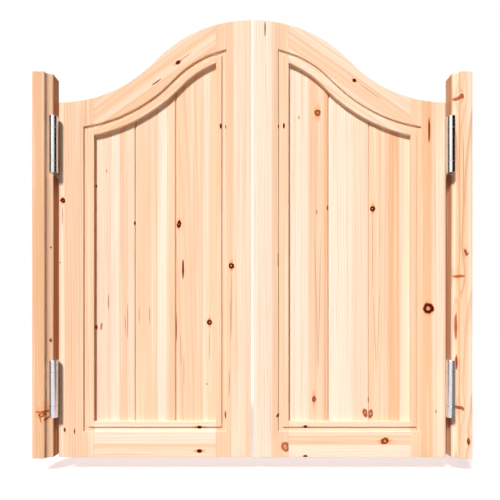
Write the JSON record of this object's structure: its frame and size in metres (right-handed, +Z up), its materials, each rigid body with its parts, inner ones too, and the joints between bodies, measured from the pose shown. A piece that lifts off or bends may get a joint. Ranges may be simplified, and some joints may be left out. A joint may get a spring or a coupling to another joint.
{
  "type": "cafe swinging doors",
  "caption": "Pair of framed pine cafe doors with a swept top, hung on moulded side posts by double-action spring hinges so that each leaf swings both ways.",
  "frame": {"origin": "on the doorway's centre line, at the middle of the leaves' thickness, level with the foot of posts and leaves", "axes": "+Z up, +X to the right and +Y away from someone who faces the closed doors"},
  "size_m": [0.972, 0.069, 0.976],
  "materials": {
    "pine": "planed and sanded light pine, bare or clear-oiled",
    "hinge_steel": "satin steel",
    "spring_steel": "oiled spring steel"
  },
  "bodies": {
    "posts": {"left_post": "pine", "left_upper_jamb_flange": "hinge_steel", "left_upper_jamb_pin": "hinge_steel", "left_upper_jamb_plug": "hinge_steel", "left_lower_jamb_flange": "hinge_steel", "left_lower_jamb_pin": "hinge_steel", "left_lower_jamb_plug": "hinge_steel", "right_post": "pine", "right_upper_jamb_flange": "hinge_steel", "right_upper_jamb_pin": "hinge_steel", "right_upper_jamb_plug": "hinge_steel", "right_lower_jamb_flange": "hinge_steel", "right_lower_jamb_pin": "hinge_steel", "right_lower_jamb_plug": "hinge_steel"},
    "left_web": {"left_upper_web": "hinge_steel", "left_upper_jamb_spring": "spring_steel", "left_upper_door_spring": "spring_steel", "left_lower_web": "hinge_steel", "left_lower_jamb_spring": "spring_steel", "left_lower_door_spring": "spring_steel"},
    "right_web": {"right_upper_web": "hinge_steel", "right_upper_jamb_spring": "spring_steel", "right_upper_door_spring": "spring_steel", "right_lower_web": "hinge_steel", "right_lower_jamb_spring": "spring_steel", "right_lower_door_spring": "spring_steel"},
    "left_leaf": {"left_hinge_stile": "pine", "left_meeting_stile": "pine", "left_top_rail": "pine", "left_bottom_rail": "pine", "left_board_1": "pine", "left_board_2": "pine", "left_board_3": "pine", "left_upper_door_flange": "hinge_steel", "left_upper_door_pin": "hinge_steel", "left_upper_door_plug": "hinge_steel", "left_lower_door_flange": "hinge_steel", "left_lower_door_pin": "hinge_steel", "left_lower_door_plug": "hinge_steel"},
    "right_leaf": {"right_hinge_stile": "pine", "right_meeting_stile": "pine", "right_top_rail": "pine", "right_bottom_rail": "pine", "right_board_1": "pine", "right_board_2": "pine", "right_board_3": "pine", "right_upper_door_flange": "hinge_steel", "right_upper_door_pin": "hinge_steel", "right_upper_door_plug": "hinge_steel", "right_lower_door_flange": "hinge_steel", "right_lower_door_pin": "hinge_steel", "right_lower_door_plug": "hinge_steel"}
  },
  "joints": [
    {"name": "left_front_swing", "type": "hinge", "parent": "posts", "child": "left_web", "pos_m": [-0.438, -0.025, 0.423], "axis": [0, 0, 1], "range_deg": [-90, 0], "stiffness_Nm_per_rad": 3, "springref_deg": 20.05},
    {"name": "left_back_swing", "type": "hinge", "parent": "left_web", "child": "left_leaf", "pos_m": [-0.438, 0.025, 0.423], "axis": [0, 0, 1], "range_deg": [0, 90], "stiffness_Nm_per_rad": 3, "springref_deg": -20.05},
    {"name": "right_back_swing", "type": "hinge", "parent": "posts", "child": "right_web", "pos_m": [0.438, 0.025, 0.423], "axis": [0, 0, 1], "range_deg": [-90, 0], "stiffness_Nm_per_rad": 3, "springref_deg": 20.05},
    {"name": "right_front_swing", "type": "hinge", "parent": "right_web", "child": "right_leaf", "pos_m": [0.438, -0.025, 0.423], "axis": [0, 0, 1], "range_deg": [0, 90], "stiffness_Nm_per_rad": 3, "springref_deg": -20.05}
  ]
}
